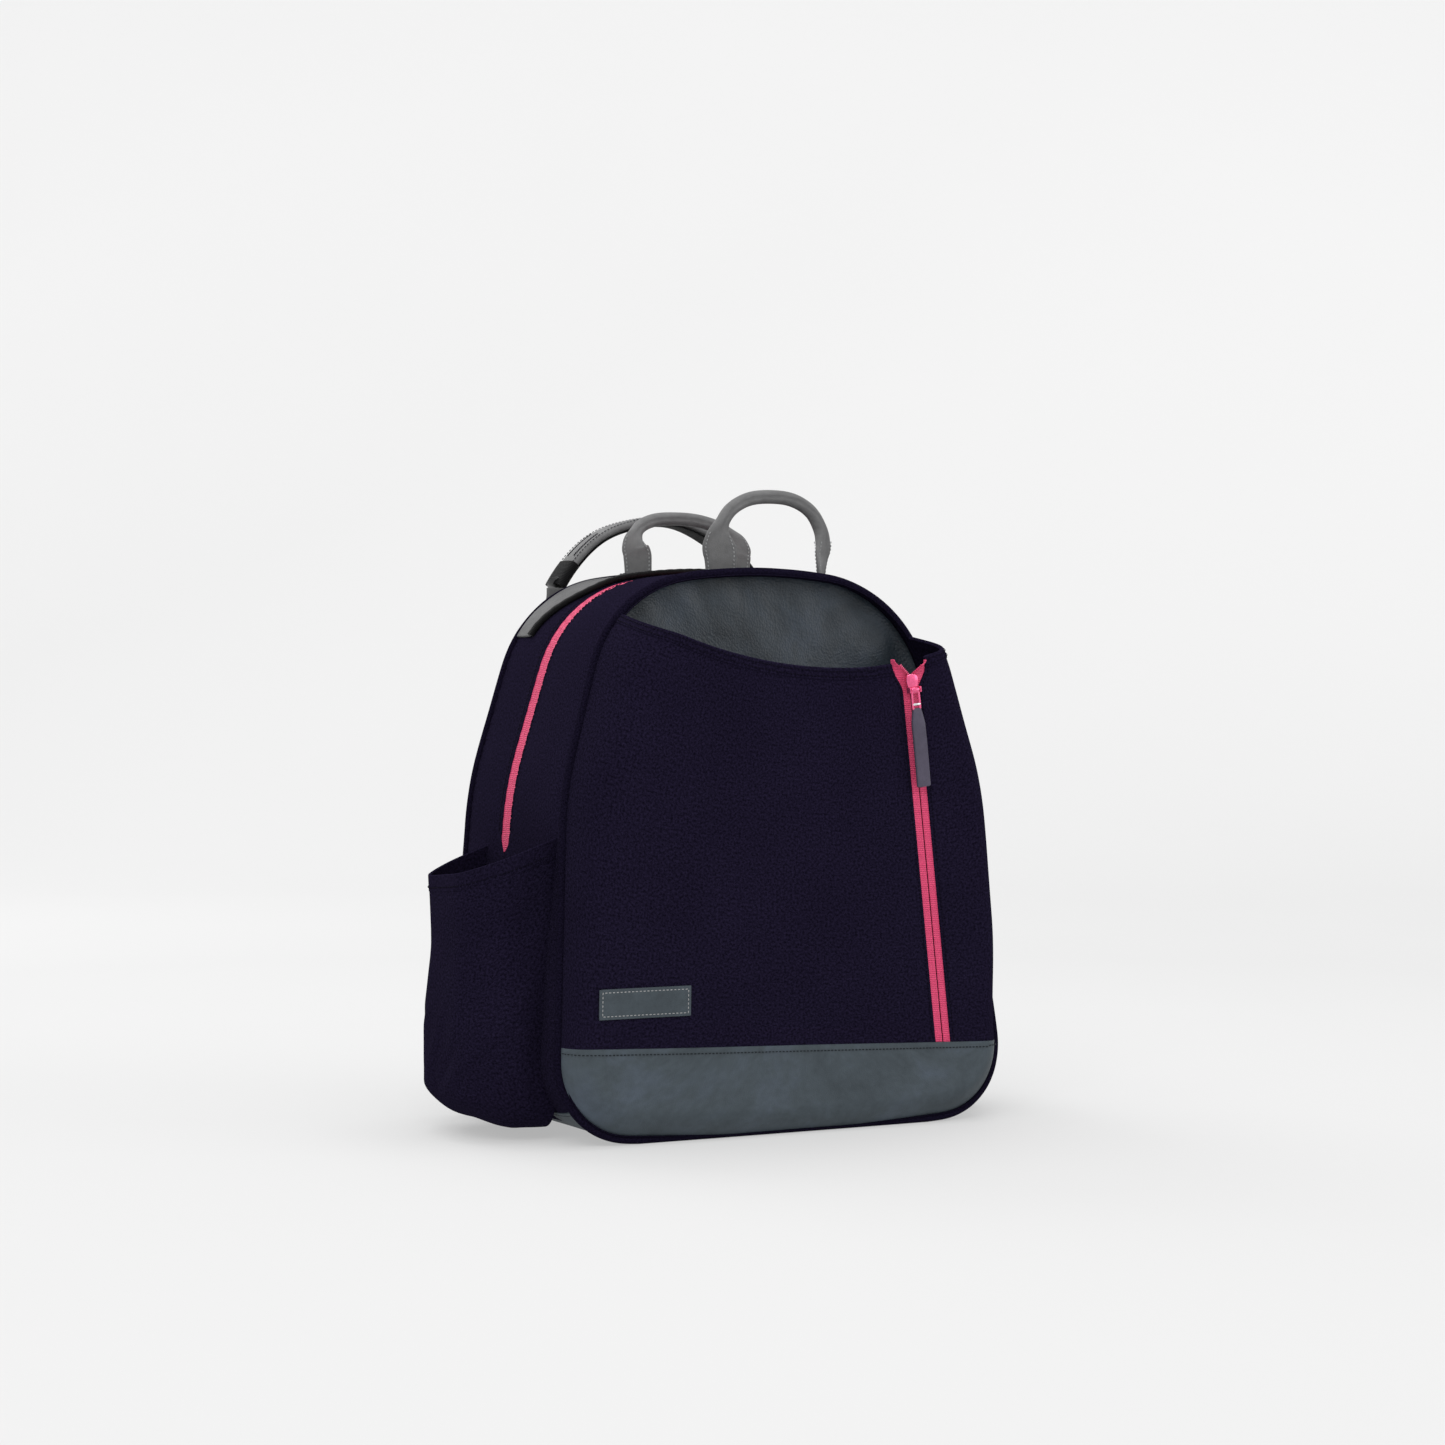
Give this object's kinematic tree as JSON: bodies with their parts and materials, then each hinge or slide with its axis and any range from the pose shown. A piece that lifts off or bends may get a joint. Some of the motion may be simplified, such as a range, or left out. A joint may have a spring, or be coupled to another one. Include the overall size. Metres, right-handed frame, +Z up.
{
  "type": "racket backpack",
  "caption": "Soft backpack with an open racket pocket on its front, bottle pockets on its sides, carry handles and padded shoulder straps.",
  "frame": {"origin": "centre of the flat underside that the bag stands on", "axes": "+Z up, -Y towards the front with the racket pocket, +Y towards the wearer, +X to the right seen from the front"},
  "size_m": [0.468, 0.2912, 0.4921],
  "materials": {
    "canvas": "matte woven",
    "grey_leather": "matte mottled",
    "handle_leather": "fine grain",
    "dark_trim": "ribbed tape",
    "zip_tape": "fine rib",
    "zip_coil": "satin",
    "slider_metal": "satin paint",
    "bright_metal": "bright",
    "pull_rubber": "satin",
    "back_mesh": "open mesh",
    "stiff_board": "matte",
    "webbing": "ribbed",
    "plastic": "satin",
    "lining": "plain weave"
  },
  "bodies": {
    "root": {"back_board": "stiff_board", "back_pad_left": "back_mesh", "back_pad_right": "back_mesh", "back_panel": "canvas", "back_yoke": "handle_leather", "base_board": "stiff_board", "base_panel": "grey_leather", "bottom_band": "grey_leather", "front_fold": "canvas", "front_piping_lower": "dark_trim", "front_wall_lower": "canvas", "label_patch": "grey_leather", "laptop_sleeve": "lining", "lumbar_pad": "back_mesh", "main_zip_coil_rear": "zip_coil", "main_zip_tape_rear": "zip_tape", "pocket_fold": "canvas", "pocket_lower_left": "canvas", "pocket_lower_right": "canvas", "pocket_zip_lower": "zip_tape", "rear_gusset": "canvas", "rear_handle_feet": "handle_leather", "rear_piping": "dark_trim", "side_panel_left": "canvas", "side_panel_right": "canvas", "side_pocket_hems": "dark_trim", "side_pocket_left": "canvas", "side_pocket_right": "canvas", "strap_corner_tabs": "dark_trim", "strap_ring_left": "bright_metal", "strap_ring_right": "bright_metal", "strap_ring_tabs": "handle_leather", "strap_yoke": "handle_leather"},
    "front_flap": {"front_gusset": "canvas", "main_zip_tape_front": "zip_tape", "main_zip_coil_front": "zip_coil", "front_piping_upper": "dark_trim", "front_wall_upper": "canvas", "front_yoke": "grey_leather", "pocket_upper_left": "canvas", "pocket_upper_right": "canvas", "mouth_binding": "dark_trim", "pocket_zip_upper": "zip_tape", "front_handle_feet": "handle_leather"},
    "pocket_slider": {"pocket_slider": "slider_metal"},
    "pocket_pull_loop": {"pocket_pull_loop": "bright_metal"},
    "pocket_pull_tab": {"pocket_pull_tab": "pull_rubber"},
    "side_slider": {"side_slider": "slider_metal"},
    "side_pull": {"side_pull": "pull_rubber"},
    "top_slider": {"top_slider": "slider_metal"},
    "top_pull": {"top_pull": "pull_rubber"},
    "front_handle": {"front_handle": "handle_leather"},
    "rear_handle": {"rear_handle": "handle_leather"},
    "top_loop": {"top_loop": "handle_leather"},
    "strap_left": {"strap_pad_left": "back_mesh", "strap_webbing_left": "webbing"},
    "strap_right": {"strap_pad_right": "back_mesh", "strap_webbing_right": "webbing"},
    "strap_adjuster_left": {"strap_adjuster_left": "plastic"},
    "strap_adjuster_right": {"strap_adjuster_right": "plastic"}
  },
  "joints": [
    {"name": "front_opening", "type": "hinge", "parent": "root", "child": "front_flap", "pos_m": [0, 0.03, 0.212], "axis": [1, 0, 0], "range_deg": [0, 25], "deforming": ["front_fold", "pocket_fold"]},
    {"name": "pocket_slider_run", "type": "slide", "parent": "front_flap", "child": "pocket_slider", "axis": [0.1146, 0.0099, -0.9934], "range_m": [0, 0.076]},
    {"name": "pocket_pull_lift", "type": "hinge", "parent": "pocket_slider", "child": "pocket_pull_loop", "pos_m": [0.09773, -0.12847, 0.33692], "axis": [-0.9934, 0.0011, -0.1146], "range_deg": [0, 115]},
    {"name": "pocket_tab_swing", "type": "hinge", "parent": "pocket_pull_loop", "child": "pocket_pull_tab", "pos_m": [0.09948, -0.12832, 0.32172], "axis": [-0.9934, 0.0011, -0.1146], "range_deg": [0, 50]},
    {"name": "side_slider_run", "type": "slide", "parent": "root", "child": "side_slider", "axis": [0.2993, 0, -0.9541], "range_m": [0, 0.075]},
    {"name": "side_pull_lift", "type": "hinge", "parent": "side_slider", "child": "side_pull", "pos_m": [0.15277, 0.03, 0.34369], "axis": [0, -1, 0], "range_deg": [0, 150]},
    {"name": "top_slider_run", "type": "hinge", "parent": "root", "child": "top_slider", "pos_m": [0.04774, 0.03, 0.32401], "axis": [0, -1, 0], "range_deg": [0, 50]},
    {"name": "top_pull_lift", "type": "hinge", "parent": "top_slider", "child": "top_pull", "pos_m": [0.14357, 0.03, 0.36955], "axis": [0, 1, 0], "range_deg": [0, 150]},
    {"name": "front_handle_swing", "type": "hinge", "parent": "front_flap", "child": "front_handle", "pos_m": [0.022, -0.036, 0.4361], "axis": [1, 0, 0], "range_deg": [-70, 75], "stiffness_Nm_per_rad": 0.03},
    {"name": "rear_handle_swing", "type": "hinge", "parent": "root", "child": "rear_handle", "pos_m": [0, 0.064, 0.4396], "axis": [1, 0, 0], "range_deg": [-35, 70], "stiffness_Nm_per_rad": 0.03},
    {"name": "top_loop_swing", "type": "hinge", "parent": "root", "child": "top_loop", "pos_m": [0, 0.122, 0.418], "axis": [1, 0, 0], "range_deg": [-70, 20], "stiffness_Nm_per_rad": 0.08},
    {"name": "strap_left_swing", "type": "hinge", "parent": "root", "child": "strap_left", "pos_m": [-0.088, 0.122, 0.386], "axis": [0.1756, 0.0115, 0.9844], "range_deg": [-15, 30], "stiffness_Nm_per_rad": 0.05},
    {"name": "strap_right_swing", "type": "hinge", "parent": "root", "child": "strap_right", "pos_m": [0.088, 0.122, 0.386], "axis": [0.1756, -0.0115, -0.9844], "range_deg": [-15, 30], "stiffness_Nm_per_rad": 0.05},
    {"name": "strap_adjuster_left_run", "type": "slide", "parent": "strap_left", "child": "strap_adjuster_left", "axis": [-0.2425, -0.194, -0.9506], "range_m": [0, 0.06]},
    {"name": "strap_adjuster_right_run", "type": "slide", "parent": "strap_right", "child": "strap_adjuster_right", "axis": [0.2425, -0.194, -0.9506], "range_m": [0, 0.06]}
  ]
}
